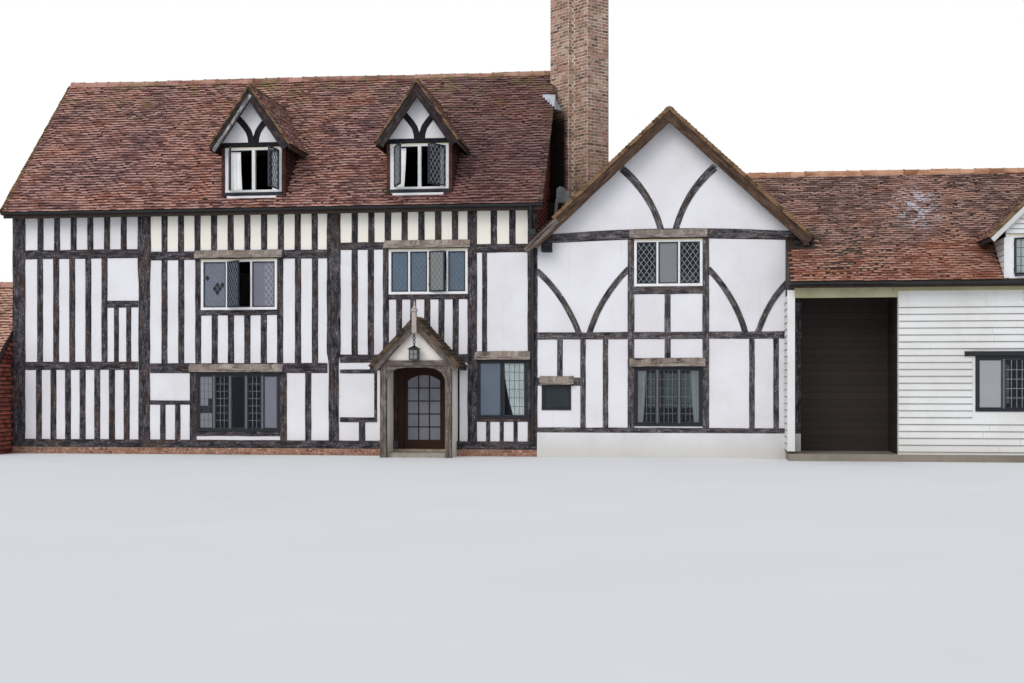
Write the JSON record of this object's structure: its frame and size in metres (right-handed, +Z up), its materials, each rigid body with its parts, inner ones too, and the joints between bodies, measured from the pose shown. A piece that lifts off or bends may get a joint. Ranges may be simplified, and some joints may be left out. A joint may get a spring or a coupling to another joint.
{
  "type": "half timbered house",
  "caption": "Close studded half timbered house with dormers, gabled porch, cross wing with curved braces, diagonal chimney shafts, boarded range and tile hung outhouse.",
  "frame": {"origin": "on the ground under the main range, half way from its front wall to its back wall and 1.5 m left of the cross wing", "axes": "+X to the right along the front, +Z up, and the front faces -Y"},
  "size_m": [28.665, 8.4239, 12.232],
  "materials": {
    "plinth_brick": "rough",
    "floor_stone": "honed",
    "floor_boards": "worn",
    "dark_oak": "weathered",
    "limewash": "matt",
    "hung_tile": "matt",
    "roof_tile": "matt",
    "ridge_tile": "matt",
    "pale_tile": "matt",
    "white_render": "painted",
    "weathered_oak": "weathered",
    "step_stone": "worn",
    "black_iron": "satin",
    "stained_oak": "satin",
    "window_glass": "clear",
    "painted_window": "painted",
    "iron_casement": "satin",
    "black_gutter": "satin",
    "wing_oak": "weathered",
    "bargeboard_oak": "weathered",
    "chimney_brick": "rough",
    "white_boards": "painted",
    "cream_paint": "painted"
  },
  "bodies": {
    "house": {"main_plinth": "plinth_brick", "main_ground_floor": "floor_stone", "main_upper_floors": "floor_boards", "corner_posts": "dark_oak", "main_front_frame": "dark_oak", "front_wall_left": "limewash", "front_wall_right": "limewash", "upper_wall_left": "limewash", "upper_wall_right": "limewash", "main_back_frame": "dark_oak", "main_back_wall": "limewash", "main_left_frame": "dark_oak", "main_left_wall": "limewash", "main_right_wall": "hung_tile", "main_roof_front": "roof_tile", "main_roof_back": "roof_tile", "ridge_tiles": "ridge_tile", "dormer_fronts": "white_render", "dormer_cheeks": "hung_tile", "dormer_roofs": "roof_tile", "porch_frame": "weathered_oak", "porch_walls": "white_render", "porch_step": "step_stone", "porch_roof": "roof_tile", "porch_lantern": "black_iron", "door_frame": "stained_oak", "door_hinges": "black_iron", "window_frames": "painted_window", "open_casements": "iron_casement", "window_glass": "window_glass", "window_hoods": "weathered_oak", "rainwater_goods": "black_gutter", "wing_plinth": "white_render", "wing_ground_floor": "floor_stone", "wing_upper_floors": "floor_boards", "wing_front_frame": "wing_oak", "wing_front_wall": "limewash", "wing_right_wall": "limewash", "wing_back_frame": "wing_oak", "wing_back_wall": "limewash", "wing_roof_left": "roof_tile", "wing_roof_right": "roof_tile", "bargeboards": "bargeboard_oak", "chimney_stack": "chimney_brick", "chimney_cap": "chimney_brick", "range_ground_floor": "floor_stone", "range_first_floor": "floor_boards", "range_front_wall": "white_boards", "range_back_wall": "white_boards", "range_end_wall": "white_boards", "recess_walls": "white_boards", "recess_beam": "cream_paint", "range_roof_front": "roof_tile", "range_roof_back": "roof_tile", "outhouse_walls": "hung_tile", "outhouse_roof": "pale_tile"},
    "front_door": {"front_door": "stained_oak", "front_door_glass": "window_glass"}
  },
  "joints": [
    {"name": "front_door_hinge", "type": "hinge", "parent": "house", "child": "front_door", "pos_m": [-1.573, -3.028, 1], "axis": [0, 0, 1], "range_deg": [0, 95]}
  ]
}
